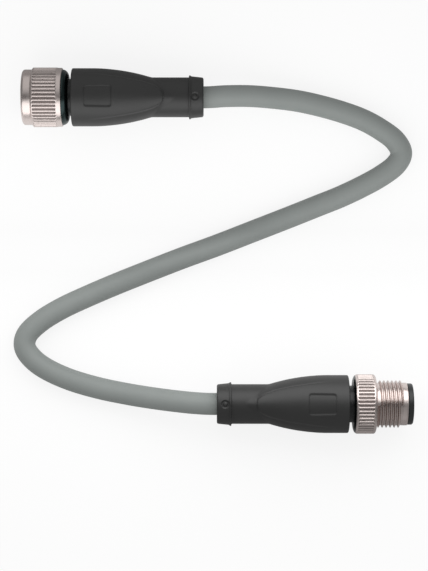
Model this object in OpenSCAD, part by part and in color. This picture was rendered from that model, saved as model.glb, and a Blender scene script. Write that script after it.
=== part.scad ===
// M12 double-ended cordset: socket connector, plug connector and the cable between them.
// Both connectors lie side by side on the table with parallel axes. X runs along the axes.
// Each connector is drawn in its own frame: x = 0 at the cable end of the grip, +x to the mating face.

/* [Layout] */
// Distance between the two mating faces along X
overall_l = 97.2; // [96:0.1:110]
// Distance between the two connector axes
axis_gap = 76.6; // [60:0.1:90]
// Turn of each connector about its own axis
roll = 3; // [0:1:10]

/* [Grip] */
// Length of the moulded grip
grip_l = 32.8; // [31:0.1:36]
// Diameter of the grip at its front
grip_d = 14.45; // [14:0.05:14.7]
// Diameter of the slim neck of the grip
neck_d = 9.9; // [9.4:0.1:10.4]
// Length of the collar at the cable end
collar_l = 3.6; // [2.5:0.1:5]
// Diameter of the collar at its lip
collar_d = 10.9; // [10.6:0.1:11.5]
// Where the body starts to widen, seen from above
flare_x = 13; // [12:0.1:14]
// Where the body starts to widen, seen from the side
swoop_x = 7.3; // [6.5:0.1:9]
// Where the nose of the raised tongue starts
tongue_x = 9.9; // [9:0.1:11.5]
// Where the flare meets the front cylinder
shoulder_x = 28; // [27:0.1:29]
// Width of the raised tongue at the shoulder
tongue_w = 11.4; // [9:0.1:12]
// Step height of the raised tongue at its nose
tongue_h = 0.45; // [0.3:0.05:0.5]
// Length of the recessed panel along the axis
panel_l = 6.8; // [5:0.1:7.2]
// Width of the recessed panel across the axis
panel_w = 5.1; // [4:0.1:6]
// Depth of the recessed panel
panel_depth = 0.3; // [0.2:0.05:0.5]

/* [Cable] */
// Diameter of the cable jacket
cable_d = 5.5; // [5:0.1:6]
// Length of jacket held inside each grip
jacket_in = 13; // [10:0.5:14]
// Diameter of one insulated core
core_d = 1.2; // [1:0.05:1.3]
// Diameter of a core's bare wire
wire_d = 0.62; // [0.5:0.02:0.64]

/* [Contacts] */
// Diameter of the circle that the contacts stand on
contact_circle = 5; // [4.9:0.05:5.1]
// Diameter of a plug pin
pin_d = 1; // [0.9:0.05:1]
// Outer diameter of a socket contact
barrel_d = 1.6; // [1.5:0.05:1.7]
// Diameter of a contact's crimp end
crimp_d = 1.4; // [1.3:0.05:1.45]

/* [Contact carriers] */
// Diameter of the black neck between grip and coupling
carrier_neck_d = 9.2; // [9:0.1:9.3]
// Diameter of the socket's face
barrel_face_d = 8.3; // [8:0.05:8.35]
// Inner diameter of the plug's cup
cup_bore_d = 8.5; // [8.4:0.05:8.6]
// Outer diameter of the plug's cup behind its rim
cup_d = 9.7; // [9.5:0.05:9.8]
// Diameter of the plug's rim in front of the screw
rim_d = 10.3; // [10.1:0.05:10.4]
// Length of the plug's rim
rim_l = 1.3; // [1:0.1:1.6]
// Depth of the plug's cup
cup_depth = 9; // [8.5:0.1:9.5]
// Width of the coding key
key_w = 1.1; // [1:0.05:1.2]
// Height of the coding key
key_h = 0.75; // [0.6:0.05:0.8]
// Thickness of the seal ring
seal_d = 1.1; // [0.9:0.05:1.2]
// Play between the seal ring and the bore of the coupling nut
seal_play = 0.19; // [0.1:0.01:0.4]

/* [Coupling] */
// Diameter over the knurls of both couplings
knurl_d = 14.8; // [14.8:0.1:15.6]
// Number of knurl grooves
knurl_count = 48; // [36:1:60]
// Depth of a knurl groove
knurl_depth = 0.3; // [0.2:0.05:0.4]
// Outer diameter of the screw thread
thread_d = 11.76; // [11.7:0.02:11.9]
// Root diameter of the screw thread
thread_root_d = 10.6; // [10.55:0.05:10.8]
// Inner diameter of the nut thread
nut_bore_d = 10.92; // [10.85:0.01:11]
// Length of the coupling nut
nut_l = 11.5; // [11:0.1:13]
// Length of the knurled ring of the coupling screw
ring_l = 5.6; // [5:0.1:6.5]
// Length of the screw's thread
thread_l = 6; // [5:0.1:7]
// Length of the plain lead in front of the thread
lead_l = 1.5; // [1:0.1:2]
// Distance from the grip to the coupling nut
nut_gap = 0.8; // [0.6:0.1:1.5]
// Distance from the grip to the coupling screw
screw_gap = 1.2; // [0.6:0.1:1.5]
// Radial clearance of the turning couplings
run_gap = 0.05; // [0.03:0.01:0.08]
// Thickness of the inner flanges that hold the couplings on
flange_t = 1.3; // [1:0.1:1.6]

/* [Hidden] */

// Fits and small edges
seat_gap = 0.02;
end_gap = 0.1;
cut = 0.5;
same = 0.001;
edge = 0.3;
lead_in = 0.4;
front_edge = 0.7;

// Inside a grip, from its cable end: jacket, core ends, crimps, contacts
core_x = jacket_in + 0.25;
moulding_x = jacket_in + edge;
crimp_back = 9.3;
crimp_l = 2.5;
tail_l = 5.5;
wire_bare_l = 1;
wire_in_l = 1.8;
crimp_bore_l = 2;
crimp_x = grip_l - crimp_back;
carrier_tail_x = crimp_x + crimp_l;
barrel_x = crimp_x + tail_l;

// Socket connector
nut_x = grip_l + nut_gap;
nut_front = nut_x + nut_l;
nut_flange_t = flange_t + 0.3;
nut_rear_l = 1.5;
nut_rear_drop = 1.8;
nut_rim_x = nut_x + 1.7;
nut_knurl_x = nut_x + 2.9;
nut_knurl_end = nut_front - 2.7;
nut_band_x = nut_front - 2.3;
band_step = 0.5;
rim_step = 0.1;
carrier_shoulder = nut_x + nut_flange_t + end_gap;
carrier_shoulder_t = 1.6;
shoulder_play = 0.2;
seal_seat_d = nut_bore_d - 2 * (seal_d + seal_play + seat_gap);
face_back = carrier_shoulder + carrier_shoulder_t;
seal_x = face_back + seal_d / 2 + seat_gap;
seal_seat_x = seal_x + seal_d / 2 + seat_gap;
face_dip = 0.5;
face_x = nut_front - face_dip;
contact_dip = 0.6;
contact_front = face_x - contact_dip;
contact_bore_l = 7;
contact_slot_l = 4.4;
contact_slot_w = 0.2;
entry_d = pin_d + 0.2;
keyway_w = key_w + 0.2;
keyway_back = 0.5;
keyway_x = face_back + seal_d + keyway_back;
socket_l = nut_front;

// Plug connector
screw_x = grip_l + screw_gap;
ring_rear_l = 1;
ring_rear_drop = 1.5;
ring_front_l = 0.8;
ring_front_drop = 1.1;
ring_rim_l = 0.4;
ring_front = screw_x + ring_l;
undercut_l = 0.3;
thread_start = ring_front + undercut_l;
thread_end = thread_start + thread_l;
sleeve_front = thread_end + lead_l;
rim_back = sleeve_front + end_gap;
plug_l = rim_back + rim_l;
cup_floor = plug_l - cup_depth;
pin_dip = 1.7;
pin_tip = plug_l - pin_dip;
pin_shoulder = cup_floor;

// Places of the two connectors
axis_h = knurl_d / 2;
socket_end = socket_l - overall_l / 2;
plug_end = overall_l / 2 - plug_l;

// Order of the contacts round the axis
plug_hand = 1;
socket_hand = -1;

// Radii used by more than one piece
cable_r = cable_d / 2;
collar_front_r = collar_d / 2;
collar_rise = 0.5;
collar_end_r = collar_front_r - collar_rise;
neck_r = neck_d / 2;
front_r = grip_d / 2;
neck_wall = 0.9;
moulding_r = neck_r - neck_wall;
carrier_r = carrier_neck_d / 2;
knurl_r = knurl_d / 2;
core_spread = 0.92;
core_pitch_r = core_d * core_spread;

// The grip's forms
collar_taper = 0.25;
shoulder_cone_l = 4;
shoulder_edge = 0.2;
ogive_lead = 0.8;
crown_rise = 0.22;
tongue_run = 0.4;
tongue_flat = 0.4;
tongue_spread = 0.36;
tongue_root_r = neck_r - 1.5;
panel_back = 1.6;
panel_corner = 0.6;
dimple_x = 2.1;
dimple_d = 1.9;
dimple_boss_d = 0.9;
dimple_depth = 0.3;
dimple_boss_h = 0.25;

// The free part of the cable, between the two grips: points chosen by hand
cable_lay = [
    [2, 38.6, 7.3], [8, 38.7, 6.6], [14, 38.4, 5.2], [20, 37.8, 3.8], [26, 36.6, 3],
    [32, 34.9, 2.8], [37, 33, 2.8], [41.3, 30.6, 2.8], [44.8, 27.9, 2.8], [46.4, 24.7, 2.8],
    [44.9, 21.7, 2.8], [41.2, 18.9, 2.8], [36.5, 16.3, 2.8], [31, 13.7, 2.8], [25, 11.3, 2.8],
    [18, 8.5, 2.8], [9, 5, 2.8], [0, 1.5, 2.8], [-9, -1.8, 2.8], [-18, -5.3, 2.8],
    [-26, -8.5, 2.8], [-33, -11.5, 2.8], [-39, -14.3, 2.8], [-44.2, -17.4, 2.8],
    [-47.9, -20.8, 2.8], [-48.7, -24, 2.8], [-46.9, -27, 2.8], [-43.2, -29.8, 2.8],
    [-37.2, -32.5, 2.8], [-30, -34.6, 2.9], [-23, -36, 3.6], [-17, -36.9, 4.9],
    [-11, -37.6, 6.3], [-5.5, -38.1, 7.2]
];
cable_route = concat(
    [[socket_end - jacket_in, axis_gap / 2, axis_h], [socket_end, axis_gap / 2, axis_h]],
    cable_lay,
    [[plug_end, -axis_gap / 2, axis_h], [plug_end + jacket_in, -axis_gap / 2, axis_h]]
);
cable_sides = 12;
round_fn = 96;
small_fn = 32;

// ---------- Helpers ----------

// Radius at x of an arc that is level with radius r1 at x1 and passes through radius r0 at x0
function arc_r(x, x0, r0, x1, r1) =
    let (rise = r1 - r0, run = x1 - x0, bend = (run * run + rise * rise) / (2 * rise))
    r1 - bend + sqrt(bend * bend - pow(min(x, x1) - x1, 2));

// Points of a quarter ellipse for a front edge: from radius r at x down to radius r - dr at x + dx
function front_round(r, x, dr, dx, n = 5) =
    [for (i = [0:n]) let (a = 90 * i / n) [r - dr + dr * cos(a), x + dx * sin(a)]];

// The same for a rear edge: from radius r - dr at x up to radius r at x + dx
function rear_round(r, x, dr, dx, n = 5) =
    [for (i = [n:-1:0]) let (a = 90 * i / n) [r - dr + dr * cos(a), x + dx * (1 - sin(a))]];

// A solid turned about the x axis from [radius, x] points
module turned(points, fn = round_fn) rotate([0, 90, 0]) rotate_extrude($fn = fn) polygon(points);

// The points of a profile without any that repeats the one before it
function distinct(points) =
    [for (i = [0:len(points) - 1]) if (i == 0 || norm(points[i] - points[max(i - 1, 0)]) > same) points[i]];

// A rod along x from x0 to x1
module rod(d, x0, x1, fn = small_fn)
    translate([x0, 0, 0]) rotate([0, 90, 0]) cylinder(d = d, h = x1 - x0, $fn = fn);

// Skin over a list of rings that have equally many points, with flat ends
module skin(rings) {
    n = len(rings[0]);
    last = len(rings) - 1;
    points = [for (ring = rings) each ring];
    sides = [
        for (i = [0:last - 1], j = [0:n - 1])
            let (a = i * n + j, b = i * n + (j + 1) % n)
            each [[a, a + n, b + n], [a, b + n, b]]
    ];
    ends = [[for (j = [0:n - 1]) j], [for (j = [n - 1:-1:0]) last * n + j]];
    polyhedron(points, concat(sides, ends));
}

module at_socket()
    translate([socket_end, axis_gap / 2, axis_h]) rotate([0, 0, 180]) rotate([-roll, 0, 0]) children();
module at_plug()
    translate([plug_end, -axis_gap / 2, axis_h]) rotate([-roll, 0, 0]) children();

// Contact i of a connector, with the coding key between contacts 1 and 2 at the top.
// The socket's order mirrors the plug's.
module turn_to_contact(i, hand) rotate([hand * (90 * i - 135), 0, 0]) children();
module at_contact(i, hand) turn_to_contact(i, hand) translate([0, 0, contact_circle / 2]) children();

// ---------- Grip, the same moulding on both connectors ----------

// Half width and half height of the ogive body at x
function body_half_w(x) = arc_r(x, flare_x, neck_r, shoulder_x, front_r);
function body_half_h(x) = arc_r(x, swoop_x, neck_r, shoulder_x, front_r - crown_rise);

// Collar, neck, core and front cylinder as one turned profile
grip_profile = concat(
    [[0, 0], [collar_end_r - edge, 0], [collar_end_r, edge]],
    [[collar_front_r - collar_taper, collar_l - front_edge], [collar_front_r, collar_l - edge]],
    [[collar_front_r, collar_l], [neck_r, collar_l + end_gap]],
    [[neck_r, shoulder_x - shoulder_cone_l], [front_r, shoulder_x - shoulder_edge]],
    front_round(front_r, grip_l - front_edge, front_edge, front_edge),
    [[0, grip_l]]
);

// Ogive body: ellipses that turn into the front circle
module ogive() {
    stations = 18;
    start = swoop_x - ogive_lead;
    sides = 48;
    skin([
        for (i = [0:stations])
            let (x = start + (shoulder_x - start) * i / stations, w = body_half_w(x), h = body_half_h(x))
            [for (j = [0:sides - 1]) let (a = 360 * j / sides) [x, w * cos(a), h * sin(a)]]
    ]);
}

// Half width of the tongue at x: a blunt nose that runs out to nearly parallel edges
function tongue_half_w(x) =
    tongue_w / 2 * pow((x - tongue_x) / (shoulder_x + tongue_run - tongue_x), tongue_spread);

// Height of the tongue's crown at x
function tongue_crown(x) =
    let (fall = (shoulder_x - min(x, shoulder_x)) / (shoulder_x - tongue_x))
    body_half_h(x) + crown_rise + (tongue_h - crown_rise) * fall;

// One raised tongue, on the +Z side
module tongue() {
    stations = 14;
    arc_steps = 8;
    end = shoulder_x + tongue_run;
    skin([
        for (i = [0:stations])
            let (
                x = tongue_x + (end - tongue_x) * pow((i + 0.3) / (stations + 0.3), 1.6),
                half = tongue_half_w(x),
                crown = tongue_crown(x),
                w = body_half_w(x) + tongue_flat
            )
            concat(
                [for (j = [0:arc_steps]) let (y = half * (1 - 2 * j / arc_steps))
                    [x, y, crown * sqrt(1 - pow(y / w, 2))]],
                [[x, -half, tongue_root_r], [x, half, tongue_root_r]]
            )
    ]);
}

// Cutter for the bare recessed panel, with a floor that follows the grip
module panel_cutter() {
    inner_l = panel_l - 2 * panel_corner;
    inner_w = panel_w - 2 * panel_corner;
    difference() {
        translate([shoulder_x - panel_back, 0, 0]) linear_extrude(height = front_r + cut) {
            square([panel_l, inner_w], center = true);
            square([inner_l, panel_w], center = true);
            for (sx = [-1, 1], sy = [-1, 1])
                translate([sx * inner_l / 2, sy * inner_w / 2]) circle(r = panel_corner, $fn = small_fn);
        }
        rod(2 * (front_r - panel_depth), shoulder_x - panel_l, shoulder_x + panel_l, round_fn);
    }
}

// Cutter for the ring-shaped dimple on the collar
module dimple_cutter() translate([dimple_x, 0, collar_end_r - dimple_depth]) difference() {
    cylinder(d = dimple_d, h = dimple_d, $fn = small_fn);
    translate([0, 0, -cut]) cylinder(d = dimple_boss_d, h = cut + dimple_boss_h, $fn = small_fn);
}

module grip() {
    difference() {
        union() {
            turned(grip_profile);
            ogive();
            tongue();
            rotate([180, 0, 0]) tongue();
        }
        rod(cable_d + 2 * seat_gap, -cut, moulding_x, round_fn);
        rod(2 * (moulding_r + seat_gap), moulding_x - seat_gap, carrier_tail_x, round_fn);
        rod(2 * (carrier_r + seat_gap), carrier_tail_x - seat_gap, grip_l + cut, round_fn);
        panel_cutter();
        dimple_cutter();
    }
}

// ---------- Inner pieces, the same in both connectors ----------

// One core end: it fans out from the cable to its contact, and its bare wire sits in the crimp
module core(i, hand, gap = 0) {
    run = crimp_x - end_gap - core_x;
    rise = contact_circle / 2 - core_pitch_r;
    tilt = atan(rise / run);
    turn_to_contact(i, hand) {
        translate([core_x, 0, core_pitch_r]) rotate([0, 90 - tilt, 0])
            cylinder(d = core_d + 2 * gap, h = norm([run, rise]), $fn = small_fn);
        translate([0, 0, contact_circle / 2]) rod(wire_d, crimp_x - wire_bare_l, crimp_x + wire_in_l);
    }
}

// Hard moulding around the fanned cores and the crimp ends
module inner_moulding(hand) {
    difference() {
        rod(2 * moulding_r, moulding_x, carrier_tail_x - seat_gap, round_fn);
        for (i = [1:4]) {
            core(i, hand, seat_gap);
            at_contact(i, hand) rod(crimp_d + 2 * seat_gap, crimp_x - seat_gap, carrier_tail_x + cut);
        }
    }
}

// ---------- Contacts ----------

// Outlines of the contacts, and of the bores around them when gap is above zero
function barrel_points(gap, end) = [
    [0, crimp_x - gap], [crimp_d / 2 + gap, crimp_x - gap], [crimp_d / 2 + gap, barrel_x - gap],
    [barrel_d / 2 + gap, barrel_x - gap], [barrel_d / 2 + gap, end + gap]
];
function pin_body(gap) = concat(barrel_points(gap, pin_shoulder), [[pin_d / 2 + gap, pin_shoulder + gap]]);
function socket_body(gap) = concat(barrel_points(gap, contact_front), [[0, contact_front + gap]]);

module crimp_bore() rod(wire_d + 2 * seat_gap, crimp_x - cut, crimp_x + crimp_bore_l);

module plug_pin(i) at_plug() at_contact(i, plug_hand) difference() {
    turned(concat(pin_body(0), front_round(pin_d / 2, pin_tip - edge, edge, edge), [[0, pin_tip]]), small_fn);
    crimp_bore();
}

module socket_contact(i) at_socket() at_contact(i, socket_hand) difference() {
    turned(socket_body(0), small_fn);
    crimp_bore();
    rod(pin_d + 2 * seat_gap, contact_front - contact_bore_l, face_x);
    translate([contact_front - contact_slot_l, -barrel_d, -contact_slot_w / 2])
        cube([contact_slot_l + cut, 2 * barrel_d, contact_slot_w]);
}

// ---------- Socket connector ----------

nut_profile = concat(
    [[carrier_r + run_gap, nut_x]],
    rear_round(knurl_r - band_step, nut_x, nut_rear_drop, nut_rear_l),
    [[knurl_r - rim_step, nut_rim_x], [knurl_r - rim_step, nut_knurl_x], [knurl_r, nut_knurl_x]],
    [[knurl_r, nut_knurl_end], [knurl_r - band_step, nut_band_x]],
    front_round(knurl_r - band_step, nut_front - front_edge, front_edge, front_edge),
    [[nut_bore_d / 2 + lead_in, nut_front], [nut_bore_d / 2, nut_front - lead_in]],
    [[nut_bore_d / 2, nut_x + nut_flange_t], [carrier_r + run_gap, nut_x + nut_flange_t]]
);

// V grooves all round, from x0 to x1, with a ridge at the bottom
module knurl_cutter(x0, x1) {
    side = knurl_depth * sqrt(2);
    for (i = [0:knurl_count - 1])
        rotate([360 * (i + 0.5) / knurl_count, 0, 0]) translate([x0, 0, knurl_r])
            rotate([45, 0, 0]) translate([0, -side, -side]) cube([x1 - x0, 2 * side, 2 * side]);
}

module socket_coupling_nut() color("Gainsboro") at_socket() rotate([roll, 0, 0]) difference() {
    turned(nut_profile);
    knurl_cutter(nut_knurl_x, nut_band_x + edge);
}

module socket_grip() color("DimGray") at_socket() grip();

module socket_contact_carrier() color("DarkSlateGray") at_socket() difference() {
    turned(distinct([
        [0, carrier_tail_x], [carrier_r, carrier_tail_x], [carrier_r, carrier_shoulder],
        [nut_bore_d / 2 - shoulder_play, carrier_shoulder],
        [nut_bore_d / 2 - shoulder_play, face_back], [seal_seat_d / 2, face_back],
        [seal_seat_d / 2, seal_seat_x], [barrel_face_d / 2, seal_seat_x],
        [barrel_face_d / 2, face_x - edge], [barrel_face_d / 2 - edge, face_x], [0, face_x]
    ]));
    for (i = [1:4]) at_contact(i, socket_hand) {
        turned(socket_body(seat_gap), small_fn);
        rod(entry_d, contact_front, face_x + cut);
    }
    translate([keyway_x, -keyway_w / 2, barrel_face_d / 2 - key_h])
        cube([face_x - keyway_x + cut, keyway_w, key_h + cut]);
}

module socket_seal_ring() color("Black") at_socket() translate([seal_x, 0, 0]) rotate([0, 90, 0])
    rotate_extrude($fn = round_fn)
        translate([(seal_seat_d + seal_d) / 2 + seat_gap, 0]) circle(d = seal_d, $fn = small_fn);

module socket_inner_moulding() color("Black") at_socket() inner_moulding(socket_hand);

module socket_contact_1() color("Gold") socket_contact(1);
module socket_contact_2() color("Gold") socket_contact(2);
module socket_contact_3() color("Gold") socket_contact(3);
module socket_contact_4() color("Gold") socket_contact(4);

module socket_core_brown() color("SaddleBrown") at_socket() core(1, socket_hand);
module socket_core_white() color("White") at_socket() core(2, socket_hand);
module socket_core_blue() color("RoyalBlue") at_socket() core(3, socket_hand);
module socket_core_black() color("Black") at_socket() core(4, socket_hand);

// ---------- Plug connector ----------

screw_profile = concat(
    [[carrier_r + run_gap, screw_x]],
    rear_round(knurl_r, screw_x, ring_rear_drop, ring_rear_l),
    front_round(knurl_r, ring_front - ring_front_l, ring_front_drop, ring_front_l),
    [[thread_root_d / 2, ring_front]],
    [[thread_root_d / 2, thread_start], [thread_d / 2, thread_start + end_gap]],
    [[thread_d / 2, thread_end - lead_in], [thread_root_d / 2, thread_end]],
    [[thread_root_d / 2, sleeve_front], [cup_d / 2 + run_gap, sleeve_front]],
    [[cup_d / 2 + run_gap, screw_x + flange_t], [carrier_r + run_gap, screw_x + flange_t]]
);

module plug_coupling_screw() color("Gainsboro") at_plug() rotate([roll, 0, 0]) difference() {
    turned(screw_profile);
    knurl_cutter(screw_x + ring_rear_l + ring_rim_l, ring_front - ring_front_l - end_gap);
}

module plug_grip() color("DimGray") at_plug() grip();

module plug_contact_carrier() color("DarkSlateGray") at_plug() difference() {
    union() {
        difference() {
            turned([
                [0, carrier_tail_x], [carrier_r, carrier_tail_x], [carrier_r, screw_x + flange_t + end_gap],
                [cup_d / 2, screw_x + flange_t + end_gap], [cup_d / 2, rim_back], [rim_d / 2, rim_back],
                [rim_d / 2, plug_l - lead_in], [rim_d / 2 - lead_in, plug_l], [0, plug_l]
            ]);
            rod(cup_bore_d, cup_floor, plug_l + cut, round_fn);
        }
        translate([cup_floor - cut, -key_w / 2, cup_bore_d / 2 - key_h])
            cube([cup_depth, key_w, key_h + edge]);
    }
    for (i = [1:4]) at_contact(i, plug_hand)
        turned(concat(pin_body(seat_gap), [[pin_d / 2 + seat_gap, pin_tip], [0, pin_tip]]), small_fn);
}

module plug_inner_moulding() color("Black") at_plug() inner_moulding(plug_hand);

module plug_pin_1() color("Gold") plug_pin(1);
module plug_pin_2() color("Gold") plug_pin(2);
module plug_pin_3() color("Gold") plug_pin(3);
module plug_pin_4() color("Gold") plug_pin(4);

module plug_core_brown() color("SaddleBrown") at_plug() core(1, plug_hand);
module plug_core_white() color("White") at_plug() core(2, plug_hand);
module plug_core_blue() color("RoyalBlue") at_plug() core(3, plug_hand);
module plug_core_black() color("Black") at_plug() core(4, plug_hand);

// ---------- Cable ----------

// Point on the smooth curve through the route, between points i and i + 1
function route_point(p, i, t) =
    let (
        last = len(p) - 1, a = p[max(i - 1, 0)], b = p[i], c = p[min(i + 1, last)], d = p[min(i + 2, last)],
        slope = c - a, bend = 2 * a - 5 * b + 4 * c - d, twist = 3 * b - 3 * c + d - a
    )
    b + 0.5 * (slope * t + bend * t * t + twist * t * t * t);

module cable() color("DarkGray") {
    last = len(cable_route) - 1;
    path = concat([for (i = [0:last - 1], t = [0, 0.5]) route_point(cable_route, i, t)], [cable_route[last]]);
    end = len(path) - 1;
    skin([
        for (i = [0:end])
            let (
                along = path[min(i + 1, end)] - path[max(i - 1, 0)],
                side = cross(along / norm(along), [0, 0, 1]),
                across = side / norm(side),
                up = cross(across, along / norm(along))
            )
            [for (j = [0:cable_sides - 1]) let (a = 360 * j / cable_sides)
                path[i] + cable_r * (cos(a) * across + sin(a) * up)]
    ]);
}

socket_coupling_nut();
socket_grip();
socket_contact_carrier();
socket_seal_ring();
socket_inner_moulding();
socket_contact_1();
socket_contact_2();
socket_contact_3();
socket_contact_4();
socket_core_brown();
socket_core_white();
socket_core_blue();
socket_core_black();
plug_coupling_screw();
plug_grip();
plug_contact_carrier();
plug_inner_moulding();
plug_pin_1();
plug_pin_2();
plug_pin_3();
plug_pin_4();
plug_core_brown();
plug_core_white();
plug_core_blue();
plug_core_black();
cable();
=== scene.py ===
from math import atan2, cos, hypot, pi, sin, sqrt

import bpy
from mathutils import Matrix, Vector


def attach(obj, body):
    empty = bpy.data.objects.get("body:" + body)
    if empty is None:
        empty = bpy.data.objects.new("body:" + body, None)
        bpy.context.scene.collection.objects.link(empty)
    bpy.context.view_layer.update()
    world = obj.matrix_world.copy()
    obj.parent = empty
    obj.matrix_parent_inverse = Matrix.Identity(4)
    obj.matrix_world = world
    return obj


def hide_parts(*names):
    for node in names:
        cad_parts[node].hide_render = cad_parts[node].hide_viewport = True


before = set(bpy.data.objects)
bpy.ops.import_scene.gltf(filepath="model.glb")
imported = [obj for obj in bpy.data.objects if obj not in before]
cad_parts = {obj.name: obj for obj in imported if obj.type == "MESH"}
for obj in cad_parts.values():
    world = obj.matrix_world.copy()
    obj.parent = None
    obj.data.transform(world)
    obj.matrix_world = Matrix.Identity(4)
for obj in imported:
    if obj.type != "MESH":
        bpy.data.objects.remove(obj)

MM = 0.001
scene = bpy.context.scene
scene.view_settings.view_transform = "Standard"
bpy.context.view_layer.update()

# ---------- Camera ----------
# It looks straight down on the table, on which the two connectors lie with the cable between them. A long
# lens keeps the perspective small.

CAMERA_LENS = 106
CAMERA_AT = (-0.9, -8.7, 427.4)

camera_data = bpy.data.cameras.new("camera")
camera_data.lens = CAMERA_LENS
camera_data.clip_start = 0.01
camera = bpy.data.objects.new("camera", camera_data)
camera.location = [c * MM for c in CAMERA_AT]
scene.collection.objects.link(camera)
scene.camera = camera


# ---------- Cable ----------
# A round four-core sensor cable with a grey jacket, bent into two hairpins. It comes straight out of both
# grips, sinks to the table and lies on it. Its jacket is extruded, satin, with a faint fine grain.

def surface_grain():
    """Node group: a fine grain for Bump and a slow cloudy tone, both from the piece's own place."""
    group = bpy.data.node_groups.new("surface_grain", "ShaderNodeTree")
    for name, start in (("Grain size", 3000.0), ("Cloud size", 90.0)):
        group.interface.new_socket(name, in_out="INPUT", socket_type="NodeSocketFloat").default_value = start
    for name in ("Height", "Tone"):
        group.interface.new_socket(name, in_out="OUTPUT", socket_type="NodeSocketFloat")
    nodes, links = group.nodes, group.links
    enter, leave = nodes.new("NodeGroupInput"), nodes.new("NodeGroupOutput")
    place = nodes.new("ShaderNodeTexCoord")
    for socket, out, detail in (("Grain size", "Height", 3), ("Cloud size", "Tone", 2)):
        noise = nodes.new("ShaderNodeTexNoise")
        noise.inputs["Detail"].default_value = detail
        links.new(place.outputs["Object"], noise.inputs["Vector"])
        links.new(enter.outputs[socket], noise.inputs["Scale"])
        links.new(noise.outputs["Fac"], leave.inputs[out])
    return group


GRAIN = surface_grain()


def new_finish(name, roughness, specular=0.5, metallic=0.0):
    """A material with one Principled BSDF: the material, its node tree and the shader."""
    material = bpy.data.materials.new(name)
    material.use_nodes = True
    shader = material.node_tree.nodes["Principled BSDF"]
    shader.inputs["Roughness"].default_value = roughness
    shader.inputs["Specular IOR Level"].default_value = specular
    shader.inputs["Metallic"].default_value = metallic
    return material, material.node_tree, shader


def feed(tree, socket, value):
    """Gives a socket its value: a number, a colour, or the output of another node."""
    if isinstance(value, bpy.types.NodeSocket):
        tree.links.new(value, socket)
    else:
        socket.default_value = (*value, 1) if isinstance(value, tuple) else value


def colour_between(tree, low, high, share):
    """The colour at share, from low at 0 to high at 1."""
    mix = tree.nodes.new("ShaderNodeMix")
    mix.data_type = "RGBA"
    for socket, value in (("A", low), ("B", high), ("Factor", share)):
        feed(tree, mix.inputs[socket], value)
    return mix.outputs["Result"]


def stretched(tree, value, start, end, low=0.0, high=1.0, curve="LINEAR"):
    """The value's run from start to end, stretched to low to high and held at both."""
    span = tree.nodes.new("ShaderNodeMapRange")
    span.interpolation_type = curve
    for socket, number in (
            ("Value", value), ("From Min", start), ("From Max", end), ("To Min", low), ("To Max", high)):
        feed(tree, span.inputs[socket], number)
    return span.outputs["Result"]


def relief(tree, height, strength, depth):
    """A normal bumped by a height, depth millimetres deep."""
    bump = tree.nodes.new("ShaderNodeBump")
    for socket, value in (("Strength", strength), ("Distance", depth * MM), ("Height", height)):
        feed(tree, bump.inputs[socket], value)
    return bump.outputs["Normal"]


def grain(tree, grain_size, cloud_size):
    """The height and the tone of the surface grain, placed in a material."""
    surface = tree.nodes.new("ShaderNodeGroup")
    surface.node_tree = GRAIN
    surface.inputs["Grain size"].default_value = grain_size
    surface.inputs["Cloud size"].default_value = cloud_size
    return surface.outputs["Height"], surface.outputs["Tone"]


def plastic(name, dark, light, roughness, grain_size=3000, bump=0.01, specular=0.5, cloud_size=90):
    """Moulded or extruded plastic: cloudy between two close tones, with a fine grain."""
    material, tree, shader = new_finish(name, roughness[0], specular)
    height, tone = grain(tree, grain_size, cloud_size)
    feed(tree, shader.inputs["Base Color"], colour_between(tree, dark, light, tone))
    feed(tree, shader.inputs["Roughness"], stretched(tree, tone, 0, 1, *roughness))
    feed(tree, shader.inputs["Normal"], relief(tree, height, 0.5, bump))
    return material


# The jacket, the height and side of both connectors' axes, the cable end of each grip, how far the jacket
# reaches into a grip, and how much of it is drawn there
CABLE_D = 5.5
AXIS_H = 7.4
GRIP_AXIS_Y = 38.3
SOCKET_END_X = -3.5
PLUG_END_X = -0.2
JACKET_IN = 13
DRAWN_IN = 6

cable_lay = [
    (2, 38.6, 7.3), (8, 38.7, 6.6), (14, 38.4, 5.2), (20, 37.8, 3.8), (26, 36.6, 3),
    (32, 34.9, 2.8), (37, 33, 2.8), (41.3, 30.6, 2.8), (44.8, 27.9, 2.8), (46.4, 24.7, 2.8),
    (44.9, 21.7, 2.8), (41.2, 18.9, 2.8), (36.5, 16.3, 2.8), (31, 13.7, 2.8), (25, 11.3, 2.8),
    (18, 8.5, 2.8), (9, 5, 2.8), (0, 1.5, 2.8), (-9, -1.8, 2.8), (-18, -5.3, 2.8),
    (-26, -8.5, 2.8), (-33, -11.5, 2.8), (-39, -14.3, 2.8), (-44.2, -17.4, 2.8),
    (-47.9, -20.8, 2.8), (-48.7, -24, 2.8), (-46.9, -27, 2.8), (-43.2, -29.8, 2.8),
    (-37.2, -32.5, 2.8), (-30, -34.6, 2.9), (-23, -36, 3.6), (-17, -36.9, 4.9),
    (-11, -37.6, 6.3), (-5.5, -38.1, 7.2),
]
route = [
    Vector(p) * MM for p in [
        (SOCKET_END_X - JACKET_IN, GRIP_AXIS_Y, AXIS_H), (SOCKET_END_X, GRIP_AXIS_Y, AXIS_H), *cable_lay,
        (PLUG_END_X, -GRIP_AXIS_Y, AXIS_H), (PLUG_END_X + JACKET_IN, -GRIP_AXIS_Y, AXIS_H),
    ]
]
cable_curve = bpy.data.curves.new("cable_jacket", "CURVE")
cable_curve.dimensions = "3D"
cable_curve.bevel_depth = CABLE_D / 2 * MM
cable_curve.bevel_resolution = 10
cable_curve.resolution_u = 12
cable_curve.use_fill_caps = True
line = cable_curve.splines.new("BEZIER")
line.bezier_points.add(len(route) - 1)
inwards = Vector((DRAWN_IN * MM, 0, 0))
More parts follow.
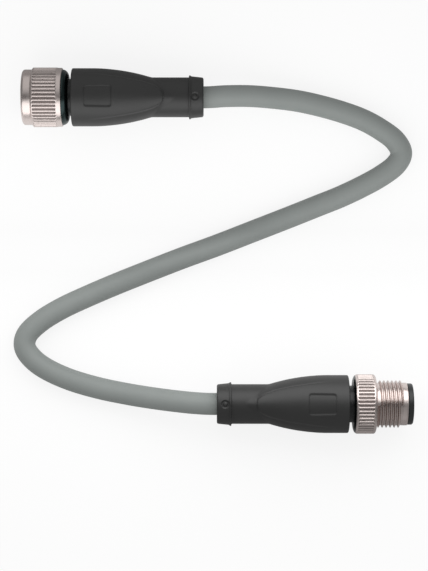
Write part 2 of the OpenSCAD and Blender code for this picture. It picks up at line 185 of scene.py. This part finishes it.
for i, knot in enumerate(line.bezier_points):
    knot.handle_left_type = knot.handle_right_type = "FREE"
    if i == 0:
        knot.co, pull = route[1] - inwards, inwards / 6
    elif i == len(route) - 1:
        knot.co, pull = route[-2] + inwards, inwards / 6
    else:
        knot.co, pull = route[i], (route[i + 1] - route[i - 1]) / 6
    knot.handle_left, knot.handle_right = knot.co - pull, knot.co + pull
cable = bpy.data.objects.new("cable_jacket", cable_curve)
scene.collection.objects.link(cable)
cable_curve.materials.append(plastic(
    "cable_jacket", (0.221, 0.239, 0.231), (0.250, 0.269, 0.260), (0.5, 0.6), grain_size=2500, bump=0.012,
    specular=0.35, cloud_size=120))
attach(cable, "root")
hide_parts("cable")


# ---------- Grips ----------
# One overmoulded polyurethane grip on each end of the cable: a slim neck with a barbed collar, an ogive body
# that widens to a round front, a raised tongue on both flat sides and a bare recessed panel on the upper one.
# Each grip is turned as a blank, and its skin is then moved out or in to the moulded form.

GRIP_L = 32.8
NECK_R = 4.95
FRONT_R = 7.225
FRONT_EDGE = 0.35
BORE_R = 4.5
ROLL = 3 * pi / 180

# Where the body leaves the neck at the sides and on top, and where it reaches its full width. Its top stays
# lower than its sides, and the front is round again
FLARE_X = 13
SWOOP_X = 7.3
SHOULDER_X = 28
NECK_FILLET = 0.12
CROWN_DROP = 0.22
ROUND_X = 24
ROUND_L = 6

TONGUE_X = 9.9
TONGUE_W = 11.4
TONGUE_H = 0.45
TONGUE_SPREAD = 0.36
TONGUE_EDGE = 0.7

PANEL_X = 26.1
PANEL_L = 6.7
PANEL_W = 5.0
PANEL_CORNER = 0.6
PANEL_DEPTH = 0.26
PANEL_EDGE = 0.45

DIMPLE_X = 2.1
DIMPLE_R = 0.95
DIMPLE_BOSS_R = 0.46
DIMPLE_DEPTH = 0.3
DIMPLE_EDGE = 0.2


def turned(name, profile, steps, smooth=40):
    """A closed piece turned about the x axis from (x, radius) points in millimetres, first point to last."""
    bpy.ops.object.select_all(action="DESELECT")
    bpy.ops.mesh.primitive_plane_add(size=MM)
    piece = bpy.context.object
    piece.name = piece.data.name = name
    bpy.ops.object.mode_set(mode="EDIT")
    bpy.ops.mesh.select_all(action="SELECT")
    x, r = profile[0]
    bpy.ops.mesh.merge(type="CENTER")
    bpy.ops.transform.translate(value=(x * MM, 0, r * MM))
    for x1, r1 in profile[1:]:
        bpy.ops.mesh.extrude_vertices_move(
            TRANSFORM_OT_translate={"value": ((x1 - x) * MM, 0, (r1 - r) * MM)})
        x, r = x1, r1
    bpy.ops.mesh.select_all(action="SELECT")
    bpy.ops.mesh.spin(steps=steps, angle=2 * pi, center=(0, 0, 0), axis=(1, 0, 0))
    bpy.ops.mesh.select_all(action="SELECT")
    bpy.ops.mesh.remove_doubles(threshold=0.002 * MM)
    bpy.ops.mesh.select_all(action="SELECT")
    bpy.ops.mesh.normals_make_consistent(inside=False)
    bpy.ops.object.mode_set(mode="OBJECT")
    bpy.ops.object.shade_smooth_by_angle(angle=smooth * pi / 180)
    return piece


def reshape(piece, radius):
    """Moves each point of a turned piece in or out to radius(x, across, up, r), all in millimetres.

    The attribute "valley" keeps how far it went in, in millimetres.
    """
    valley = piece.data.attributes.new("valley", "FLOAT", "POINT")
    for v in piece.data.vertices:
        x, y, z = (c / MM for c in v.co)
        r = hypot(y, z)
        if r > 0.1:
            new_r = radius(x, y / r, z / r, r)
            v.co.yz = Vector((v.co.y, v.co.z)) * (new_r / r)
            valley.data[v.index].value = max(r - new_r, 0)


def step(t):
    """Soft step from 0 to 1 over t = 0 to 1."""
    t = min(max(t, 0), 1)
    return t * t * (3 - 2 * t)


def arc_radius(x, x0, r0, x1, r1):
    """Radius at x of an arc that is level with r1 at x1 and passes through r0 at x0."""
    rise, run = r1 - r0, x1 - x0
    bend = (run * run + rise * rise) / (2 * rise)
    return r1 - bend + sqrt(bend * bend - (min(x, x1) - x1) ** 2)


def blended(a, b, soft):
    """The larger of two radii, with a fillet where they meet."""
    near = max(soft - abs(a - b), 0) / soft
    return max(a, b) + near * near * soft / 4


def tongue_rise(x, y, round_share):
    """How far the raised tongue stands out at x and y: a blunt nose, and edges that fade out at the front."""
    if x > TONGUE_X:
        reach = (x - TONGUE_X) / (SHOULDER_X - TONGUE_X)
        half = TONGUE_W / 2 * reach ** TONGUE_SPREAD
        inside = (half - y) / hypot(1, TONGUE_SPREAD * half / (x - TONGUE_X))
        height = TONGUE_H + (CROWN_DROP - TONGUE_H) * min(reach, 1)
    else:
        inside, height = -hypot(TONGUE_X - x, y), TONGUE_H
    return height * (1 - round_share) * step(inside / TONGUE_EDGE + 0.4)


def panel_sink(x, y):
    """How deep the bare panel lies at x and y."""
    dx, dy = abs(x - PANEL_X) - PANEL_L / 2 + PANEL_CORNER, y - PANEL_W / 2 + PANEL_CORNER
    outside = hypot(max(dx, 0), max(dy, 0)) + min(max(dx, dy), 0) - PANEL_CORNER
    return PANEL_DEPTH * step(0.5 - outside / PANEL_EDGE)


def dimple_sink(x, y):
    """How deep the ring dimple on the collar lies at x and y, round its small boss."""
    away = hypot(x - DIMPLE_X, y)
    rim = step((DIMPLE_R - away) / DIMPLE_EDGE + 0.5)
    return DIMPLE_DEPTH * rim * step((away - DIMPLE_BOSS_R) / DIMPLE_EDGE + 0.5)


def grip_radius(x, across, up, r):
    """Outer radius of the grip in the direction (across, up)."""
    if r < BORE_R or x > GRIP_L - FRONT_EDGE - 0.02:
        return r
    wide = arc_radius(x, FLARE_X, NECK_R, SHOULDER_X, FRONT_R)
    high = arc_radius(x, SWOOP_X, NECK_R, SHOULDER_X, FRONT_R - CROWN_DROP)
    body = wide * high / hypot(high * across, wide * up)
    round_share = step((x - ROUND_X) / ROUND_L)
    body += (FRONT_R - body) * round_share
    out = blended(r, body, NECK_FILLET)
    y = abs(out * across)
    out += tongue_rise(x, y, round_share)
    if up > 0:
        out -= panel_sink(x, y)
        out -= dimple_sink(x, y)
    return out


def stations(*runs):
    """Evenly spaced numbers over runs of (start, end, step), without each run's end."""
    found = []
    for start, end, gap in runs:
        count = round((end - start) / gap)
        found += [start + (end - start) * i / count for i in range(count)]
    return found


collar = [
    (6.5, 0), (6.5, 2.76), (0.1, 2.76), (0, 2.9), (0, 4.5), (0.04, 4.64), (0.14, 4.8), (0.3, 4.93),
    *[(x, 4.93 + (x - 0.3) * 0.104) for x in stations((0.4, 2.9, 0.1))],
    (2.95, 5.21), (3.1, 5.28), (3.25, 5.4), (3.32, 5.45), (3.42, 5.47), (3.53, 5.45), (3.6, 5.38),
    (3.63, 5.2), (3.68, 5.0), (3.78, NECK_R),
]
skin = [
    (x, NECK_R) for x in stations(
        (4, 7, 0.3), (7, 15, 0.16), (15, 22.4, 0.2), (22.4, 30.4, 0.14), (30.4, 32.4, 0.4))
]
front_rounding = [
    (GRIP_L - FRONT_EDGE * (1 - sin(a * pi / 16)), FRONT_R - FRONT_EDGE * (1 - cos(a * pi / 16)))
    for a in range(9)
]
front_recess = [(GRIP_L, 4.75), (GRIP_L - 0.1, 4.62), (GRIP_L - 3, 4.62), (GRIP_L - 3, 0)]
grip_finish = plastic(
    "grip", (0.0145, 0.0145, 0.0143), (0.019, 0.019, 0.0187), (0.45, 0.55), grain_size=5200, bump=0.02,
    specular=0.68, cloud_size=160)


def lay_socket(piece, roll=ROLL):
    """Puts a piece of the socket connector, drawn along its own axis, in its place."""
    place = Matrix.Translation((SOCKET_END_X * MM, GRIP_AXIS_Y * MM, AXIS_H * MM))
    piece.data.transform(place @ Matrix.Rotation(pi, 4, "Z") @ Matrix.Rotation(-roll, 4, "X"))


def lay_plug(piece, roll=ROLL):
    """The same for a piece of the plug connector."""
    place = Matrix.Translation((PLUG_END_X * MM, -GRIP_AXIS_Y * MM, AXIS_H * MM))
    piece.data.transform(place @ Matrix.Rotation(-roll, 4, "X"))


def own_copy(piece, name):
    """A copy of a piece with its own mesh."""
    copy = piece.copy()
    copy.data = piece.data.copy()
    copy.name = copy.data.name = name
    scene.collection.objects.link(copy)
    return copy


socket_grip = turned("moulded_grip_socket", collar + skin + front_rounding + front_recess, 240)
reshape(socket_grip, grip_radius)
socket_grip.data.materials.append(grip_finish)
plug_grip = own_copy(socket_grip, "moulded_grip_plug")
lay_socket(socket_grip)
lay_plug(plug_grip)
for piece, node in ((socket_grip, "socket_grip"), (plug_grip, "plug_grip")):
    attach(piece, "root")
    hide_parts(node)


# ---------- Coupling nut ----------
# A nickel-plated brass nut, turned, with straight knurling, a smooth front band, an inner M12 x 1 thread and
# a rear shoulder painted dark teal as a reflection of the black grip. It turns on the neck of the contact
# carrier, behind the seal ring.

def computed(tree, operation, *values):
    """The result of a Math node."""
    sum_up = tree.nodes.new("ShaderNodeMath")
    sum_up.operation = operation
    for socket, value in zip(sum_up.inputs, values):
        feed(tree, socket, value)
    return sum_up.outputs["Value"]


def plating(name, dark, light, roughness):
    """Bright plating with fine turning marks and cloudy gloss, painted shade in its valleys, and a painted
    dark reflection where marked.
    """
    material, tree, shader = new_finish(name, roughness[0], metallic=1.0)
    height, tone = grain(tree, 2200, 420)
    valley = tree.nodes.new("ShaderNodeAttribute")
    valley.attribute_name = "valley"
    depth = valley.outputs["Fac"]
    # Painted shade: the plating is mixed towards this darker tone in knurl grooves and thread roots
    painted_groove_shade = tuple(c * 0.3 for c in dark)
    # Painted reflection: dark teal for the rear shoulders, where the metal mirrors the black grip
    painted_dark_reflection = (0.035, 0.05, 0.05)
    colour = colour_between(tree, dark, light, tone)
    colour = colour_between(tree, colour, painted_groove_shade, stretched(tree, depth, 0.05, 0.34, 0, 0.85))
    colour = colour_between(tree, colour, painted_dark_reflection, stretched(tree, depth, 0.6, 0.9))
    feed(tree, shader.inputs["Base Color"], colour)
    feed(tree, shader.inputs["Roughness"], stretched(tree, tone, 0.35, 0.65, *roughness))
    place = tree.nodes.new("ShaderNodeTexCoord")
    along = tree.nodes.new("ShaderNodeSeparateXYZ")
    marks = tree.nodes.new("ShaderNodeTexNoise")
    marks.noise_dimensions = "1D"
    marks.inputs["Scale"].default_value = 9000
    marks.inputs["Detail"].default_value = 2
    feed(tree, along.inputs["Vector"], place.outputs["Object"])
    feed(tree, marks.inputs["W"], along.outputs["X"])
    bumps = computed(tree, "ADD", marks.outputs["Fac"], height)
    feed(tree, shader.inputs["Normal"], relief(tree, bumps, 0.35, 0.008))
    return material


nickel = plating("nickel_plate", (0.69, 0.60, 0.57), (0.80, 0.715, 0.685), (0.24, 0.35))

KNURL_R = 7.4
KNURL_COUNT = 48
KNURL_DEPTH = 0.36
KNURL_RUN_OUT = 0.45

# Half a knurl groove and its flank, as shares of one knurl
GROOVE_HALF = 0.36
GROOVE_FLANK = 0.27

# How far the ends of a thread sink into the metal and how fast, and how deep its root counts as a valley for
# the painted shade
THREAD_STEPS = 96
THREAD_SINK = 0.1
THREAD_FADE = 1.6
THREAD_ROOT = 0.22

# The valley value that marks a rear shoulder for the painted dark reflection
PAINTED_REFLECTION = 1


def quarter(x, r, dx, dr, rising, count=7):
    """Points of a quarter ellipse edge.

    It rises from (x, r - dr) to (x + dx, r), or falls from (x, r) to (x + dx, r - dr).
    """
    turns = [i * pi / 2 / count for i in range(count + 1)]
    if rising:
        return [(x + dx * (1 - cos(a)), r - dr + dr * sin(a)) for a in turns]
    return [(x + dx * sin(a), r - dr + dr * cos(a)) for a in turns]


def knurled(x0, x1):
    """Radius of a knurled band between x0 and x1: ridges, and round grooves that run out at both ends."""
    def radius(x, across, up, r):
        if r < KNURL_R - 0.6 or not x0 <= x <= x1:
            return r
        share = (atan2(across, up) / (2 * pi) * KNURL_COUNT + 0.5) % 1
        groove = step((GROOVE_HALF - abs(share - 0.5)) / GROOVE_FLANK)
        run_out = step((x - x0) / KNURL_RUN_OUT) * step((x1 - x) / KNURL_RUN_OUT)
        return r - KNURL_DEPTH * groove * run_out
    return radius


def thread_ridge(name, x0, turns, root_r, crest_r, base, crest):
    """One helical ridge of 1 mm pitch, closed, base wide at its root and crest wide at its crest.

    Both ends thin away into the metal. The attribute "valley" is deep at the root.
    """
    bpy.ops.object.select_all(action="DESELECT")
    bpy.ops.mesh.primitive_plane_add(size=MM, location=(x0 * MM, 0, root_r * MM), rotation=(pi / 2, 0, 0))
    ridge = bpy.context.object
    ridge.name = ridge.data.name = name
    bpy.ops.object.transform_apply(location=True, rotation=True, scale=False)
    corners = sorted(ridge.data.vertices, key=lambda v: (v.co.z, v.co.x))
    for v, (dx, r) in zip(corners, ((-base, root_r), (base, root_r), (-crest, crest_r), (crest, crest_r))):
        v.co = ((x0 + dx / 2) * MM, 0, r * MM)
    helix = ridge.modifiers.new("helix", "SCREW")
    helix.axis = "X"
    helix.screw_offset = MM
    helix.iterations = turns
    helix.steps = helix.render_steps = THREAD_STEPS
    helix.use_merge_vertices = False
    helix.use_smooth_shade = False
    bpy.ops.object.modifier_apply(modifier="helix")
    fade_r = root_r - THREAD_SINK * (1 if crest_r > root_r else -1)
    valley = ridge.data.attributes.new("valley", "FLOAT", "POINT")
    for v in ridge.data.vertices:
        x, y, z = (c / MM for c in v.co)
        r = hypot(y, z)
        run = step(min(x - x0, x0 + turns - x) + base / 2)
        new_r = fade_r + (r - fade_r) * min(1, run * THREAD_FADE)
        v.co.yz = Vector((v.co.y, v.co.z)) * (new_r / r)
        valley.data[v.index].value = THREAD_ROOT * (1 - abs(r - root_r) / abs(crest_r - root_r))
    bpy.ops.object.mode_set(mode="EDIT")
    bpy.ops.mesh.select_all(action="SELECT")
    bpy.ops.mesh.remove_doubles(threshold=0.001 * MM)
    bpy.ops.mesh.select_all(action="SELECT")
    bpy.ops.mesh.fill_holes(sides=4)
    bpy.ops.mesh.select_all(action="SELECT")
    bpy.ops.mesh.normals_make_consistent(inside=False)
    bpy.ops.object.mode_set(mode="OBJECT")
    return ridge


def joined(body, part):
    """Joins a part into body and keeps body's name."""
    bpy.ops.object.select_all(action="DESELECT")
    part.select_set(True)
    body.select_set(True)
    bpy.context.view_layer.objects.active = body
    bpy.ops.object.join()
    return body


def paint_dark_reflection(piece, end):
    """Marks the rear shoulder of a turned piece, up to x = end, for the painted dark reflection."""
    for v, mark in zip(piece.data.vertices, piece.data.attributes["valley"].data):
        if v.co.x < end * MM:
            mark.value = PAINTED_REFLECTION


nut_profile = (
    [(35.2, 4.65), (33.7, 4.65), (33.6, 4.75), (33.6, 5.05)]
    + quarter(33.6, 6.9, 1.5, 1.75, True, 9)[1:]
    + [(35.14, 7.0)]
    + quarter(35.16, 7.32, 0.22, 0.25, True, 4)
    + [(x, 7.32) for x in stations((35.6, 36.3, 0.35))]
    + [(36.32, 7.33), (36.4, 7.38)]
    + [(x, KNURL_R) for x in stations((36.5, 37.1, 0.06), (37.1, 41.7, 0.46), (41.7, 42.36, 0.06))]
    + [(42.4, KNURL_R - 0.03), (42.5, KNURL_R - 0.12), (42.75, 6.93), (42.85, 6.9)]
    + [(x, 6.9) for x in stations((43, 44.4, 0.35))]
    + quarter(44.4, 6.9, 0.7, 0.7, False, 8)
    + [(45.1, 5.95), (45.06, 5.88), (44.7, 6.02)]
    + [(x, 6.02) for x in (42, 39, 37)]
    + [(36.9, 5.5), (35.2, 5.5), (35.2, 4.65)]
)
nut = turned("coupling_nut", nut_profile, KNURL_COUNT * 10, 35)
reshape(nut, knurled(36.3, 42.36))
paint_dark_reflection(nut, 35.15)
nut = joined(nut, thread_ridge("nut_thread", 37.1, 7, 6.05, 5.46, 0.8, 0.16))
nut.data.materials.append(nickel)
lay_socket(nut, roll=0)
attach(nut, "coupling_nut")
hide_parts("socket_coupling_nut")


# ---------- Coupling screw ----------
# The plug's counterpart: one nickel-plated brass piece with a knurled ring, an outer M12 x 1 thread, a plain
# lead and the same rear shoulder with a painted dark reflection. It turns on the cup of the plug, between the
# grip and the cup's rim.

screw_profile = (
    [(35.3, 4.65), (34.1, 4.65), (34, 4.75), (34, 5.9)]
    + quarter(34, KNURL_R, 1.0, 1.45, True, 9)[1:]
    + [(x, KNURL_R) for x in stations((35.06, 35.6, 0.06), (35.6, 38.4, 0.46), (38.4, 38.98, 0.06))]
    + quarter(39.0, KNURL_R, 0.62, 1.0, False, 9)
    + [(39.6, 5.9), (39.62, 5.45), (39.7, 5.32), (39.85, 5.25), (40.2, 5.25), (43, 5.25), (45.9, 5.25)]
    + [(46.0, 5.3), (46.3, 5.32), (47.2, 5.32), (47.34, 5.28), (47.4, 5.2), (47.4, 4.92), (46, 4.9)]
    + [(38, 4.9), (35.3, 4.9), (35.3, 4.65)]
)
screw = turned("coupling_screw", screw_profile, KNURL_COUNT * 10, 35)
reshape(screw, knurled(34.8, 38.98))
paint_dark_reflection(screw, 34.4)
screw = joined(screw, thread_ridge("outer_thread", 40.0, 6, 5.24, 5.88, 0.84, 0.14))
screw.data.materials.append(nickel)
lay_plug(screw, roll=0)
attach(screw, "coupling_screw")
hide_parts("plug_coupling_screw")


# ---------- Socket face ----------
# The black insert of the socket connector: a neck that the nut turns on, a shoulder for the seal ring and a
# round face with four contact holes and the coding groove. Gold-plated contacts sit just under the face.

CONTACT_CIRCLE_R = 2.5
FIRST_CONTACT = -45

black_insert = plastic(
    "contact_carrier", (0.010, 0.012, 0.012), (0.016, 0.019, 0.019), (0.32, 0.42), grain_size=3800,
    bump=0.01, cloud_size=200)


def cut_out(piece, cutter):
    """Takes the cutter's shape out of a piece."""
    cutting = piece.modifiers.new("cut", "BOOLEAN")
    cutting.operation = "DIFFERENCE"
    cutting.solver = "EXACT"
    cutting.object = cutter
    bpy.ops.object.select_all(action="DESELECT")
    bpy.context.view_layer.objects.active = piece
    bpy.ops.object.modifier_apply(modifier="cut")
    bpy.data.objects.remove(cutter)


def rounded_bar(middle, size, edge):
    """A bar with rounded edges along the top of an insert, in millimetres."""
    bpy.ops.object.select_all(action="DESELECT")
    bpy.ops.mesh.primitive_cube_add(size=1)
    bar = bpy.context.object
    bar.data.transform(
        Matrix.Translation([c * MM for c in middle]) @ Matrix.Diagonal([*(s * MM for s in size), 1]))
    rounding = bar.modifiers.new("edges", "BEVEL")
    rounding.width = edge * MM
    rounding.segments = 3
    bpy.ops.object.modifier_apply(modifier="edges")
    return bar


def finish_insert(piece):
    """Smooths a black insert and gives it its finish."""
    bpy.ops.object.select_all(action="DESELECT")
    bpy.context.view_layer.objects.active = piece
    piece.select_set(True)
    bpy.ops.object.shade_smooth_by_angle(angle=30 * pi / 180)
    piece.data.materials.clear()
    piece.data.materials.append(black_insert)


socket_insert = turned("socket_insert", (
    [(30, 0), (30, 4.6), (35.3, 4.6), (35.3, 5.16), (35.4, 5.26), (36.8, 5.26), (36.9, 5.16), (36.9, 4.2)]
    + [(36.95, 4.15), (40, 4.15)] + quarter(44.25, 4.15, 0.35, 0.35, False, 6) + [(44.6, 0)]
), 128)
hole = turned("contact_hole", [
    (36.5, 0), (36.5, 0.82), (44.02, 0.82), (44.02, 0.6), (44.42, 0.6), (44.75, 0.85), (44.75, 0),
], 32)
hole.data.transform(Matrix.Translation((0, 0, CONTACT_CIRCLE_R * MM)))
for i in range(4):
    one = own_copy(hole, f"contact_hole_{i}")
    one.data.transform(Matrix.Rotation((90 * i + FIRST_CONTACT) * pi / 180, 4, "X"))
    cut_out(socket_insert, one)
bpy.data.objects.remove(hole)
coding_groove = rounded_bar((42.6, 0, 4.4), (8.2, 1.3, 2), 0.15)
cut_out(socket_insert, coding_groove)
bpy.context.view_layer.objects.active = socket_insert
socket_insert.select_set(True)
bpy.ops.object.mode_set(mode="EDIT")
bpy.ops.mesh.select_all(action="SELECT")
bpy.ops.mesh.remove_doubles(threshold=0.004 * MM)
bpy.ops.mesh.select_all(action="SELECT")
bpy.ops.mesh.dissolve_degenerate(threshold=0.004 * MM)
bpy.ops.object.mode_set(mode="OBJECT")
finish_insert(socket_insert)
lay_socket(socket_insert)
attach(socket_insert, "root")
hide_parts("socket_contact_carrier")


# ---------- Plug cup ----------
# The black insert of the plug connector: a neck behind the screw, then a deep cup with a rim in front of it.
# The coding key runs along the top of the cup, and four gold-plated pins stand on its floor.

plug_cup = turned("plug_cup", (
    [(30, 0), (30, 4.6), (35.4, 4.6), (35.4, 4.85), (47.45, 4.85), (47.5, 4.9), (47.5, 5.05), (47.58, 5.15)]
    + [(48, 5.15)] + quarter(48.35, 5.15, 0.45, 0.4, False, 6)
    + [(48.8, 4.45), (48.76, 4.34), (48.6, 4.25), (44, 4.25), (39.9, 4.25), (39.8, 4.15), (39.8, 0)]
), 128)
coding_key = rounded_bar((44.1, 0, 3.95), (8.8, 1.1, 0.9), 0.12)
plug_cup = joined(plug_cup, coding_key)
finish_insert(plug_cup)
lay_plug(plug_cup)
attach(plug_cup, "root")
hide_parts("plug_contact_carrier")


# ---------- Contacts, seal ring and core ends ----------
# Turned brass contacts with gold plating, a rubber seal ring, and inside the grips the coloured core ends in
# their hard moulding. They keep their exact shapes and get their finishes here.

gold = plating("gold_plate", (0.83, 0.60, 0.26), (0.90, 0.68, 0.33), (0.2, 0.3))
finishes = {
    "contact_": gold,
    "pin_": gold,
    "seal_ring": plastic("seal_rubber", (0.014, 0.014, 0.014), (0.02, 0.02, 0.02), (0.6, 0.72), bump=0.015),
    "inner_moulding": plastic("hard_moulding", (0.03, 0.03, 0.03), (0.04, 0.04, 0.04), (0.45, 0.55)),
    "core_brown": plastic("core_brown", (0.14, 0.05, 0.025), (0.17, 0.065, 0.033), (0.3, 0.4)),
    "core_white": plastic("core_white", (0.78, 0.78, 0.76), (0.84, 0.84, 0.82), (0.3, 0.4)),
    "core_blue": plastic("core_blue", (0.025, 0.1, 0.42), (0.03, 0.13, 0.5), (0.3, 0.4)),
    "core_black": plastic("core_black", (0.015, 0.015, 0.015), (0.02, 0.02, 0.02), (0.3, 0.4)),
}
for name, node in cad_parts.items():
    for word, finish in finishes.items():
        if word in name and not node.hide_render:
            node.data.materials.clear()
            node.data.materials.append(finish)


# ---------- Table and light ----------
# A plain white table under an even pale sky. In reflections the sky is dark overhead and at both ends of the
# connectors, and the table is bright between them, so that metal shows soft bands. Two soft lamps stand
# upright in the middle, back to back: one lights the plug's inner side and the other the socket's.

TABLE_DROP = 0.02
POOL_START = 25
POOL_END = 52
ENDS_START = 0.2
ENDS_END = 0.55
LAMP_SIZE = (200, 92)

bpy.ops.object.select_all(action="DESELECT")
bpy.ops.mesh.primitive_plane_add(size=3, location=(0, 0, -TABLE_DROP * MM))
table = bpy.context.object
table.name = "table"
table_finish, tree, shader = new_finish("table", 0.7, 0.2)
shader.inputs["Base Color"].default_value = (0.9, 0.9, 0.9, 1)
path = tree.nodes.new("ShaderNodeLightPath")
spot = tree.nodes.new("ShaderNodeTexCoord")
parts = tree.nodes.new("ShaderNodeSeparateXYZ")
feed(tree, parts.inputs["Vector"], spot.outputs["Object"])
aside = computed(tree, "ABSOLUTE", parts.outputs["Y"])
pool = stretched(tree, aside, POOL_START * MM, POOL_END * MM, 0.85, 0.2, "SMOOTHSTEP")
white = tree.nodes.new("ShaderNodeEmission")
feed(tree, white.inputs["Color"],
     colour_between(tree, pool, (1.02, 1.02, 1.02), path.outputs["Is Camera Ray"]))
seen = computed(tree, "MAXIMUM", path.outputs["Is Camera Ray"], path.outputs["Is Glossy Ray"])
blend_in = tree.nodes.new("ShaderNodeMixShader")
feed(tree, blend_in.inputs["Fac"], computed(tree, "MULTIPLY", seen, 0.8))
feed(tree, blend_in.inputs[1], shader.outputs["BSDF"])
feed(tree, blend_in.inputs[2], white.outputs["Emission"])
feed(tree, tree.nodes["Material Output"].inputs["Surface"], blend_in.outputs["Shader"])
table.data.materials.append(table_finish)

world = bpy.data.worlds.new("studio")
scene.world = world
world.use_nodes = True
tree = world.node_tree
path = tree.nodes.new("ShaderNodeLightPath")
direction = tree.nodes.new("ShaderNodeTexCoord")
parts = tree.nodes.new("ShaderNodeSeparateXYZ")
feed(tree, parts.inputs["Vector"], direction.outputs["Generated"])
ramp = tree.nodes.new("ShaderNodeValToRGB")
stops = (
    (0.0, 0.42), (0.2, 0.32), (0.38, 0.3), (0.46, 0.07), (0.53, 0.05), (0.6, 0.36), (0.75, 0.6), (1.0, 0.6),
)
while len(ramp.color_ramp.elements) < len(stops):
    ramp.color_ramp.elements.new(0.5)
for element, (place, level) in zip(ramp.color_ramp.elements, stops):
    element.position, element.color = place, (level, level, level, 1)
feed(tree, ramp.inputs["Fac"], stretched(tree, parts.outputs["Y"], -1, 1))
lengthwise = computed(tree, "ABSOLUTE", parts.outputs["X"])
ends = stretched(tree, lengthwise, ENDS_START, ENDS_END, curve="SMOOTHSTEP")
mirrored = colour_between(tree, ramp.outputs["Color"], (0.16, 0.165, 0.165), ends)
lit = colour_between(tree, (0.68, 0.68, 0.68), mirrored, path.outputs["Is Glossy Ray"])
look = colour_between(tree, lit, (1, 1, 1), path.outputs["Is Camera Ray"])
feed(tree, tree.nodes["Background"].inputs["Color"], look)


def lamp(name, place, aim, power):
    """A soft rectangular lamp, not seen by the camera."""
    data = bpy.data.lights.new(name, "AREA")
    data.shape = "RECTANGLE"
    data.size, data.size_y = (s * MM for s in LAMP_SIZE)
    data.energy = power
    light = bpy.data.objects.new(name, data)
    light.location = Vector(place) * MM
    light.rotation_euler = (Vector(aim) - Vector(place)).to_track_quat("-Z", "Y").to_euler()
    light.visible_camera = False
    scene.collection.objects.link(light)


lamp("plug_lamp", (15, 5, 64), (15, -38, 64), 0.088)
lamp("socket_lamp", (-15, -5, 64), (-15, 38, 64), 0.07)
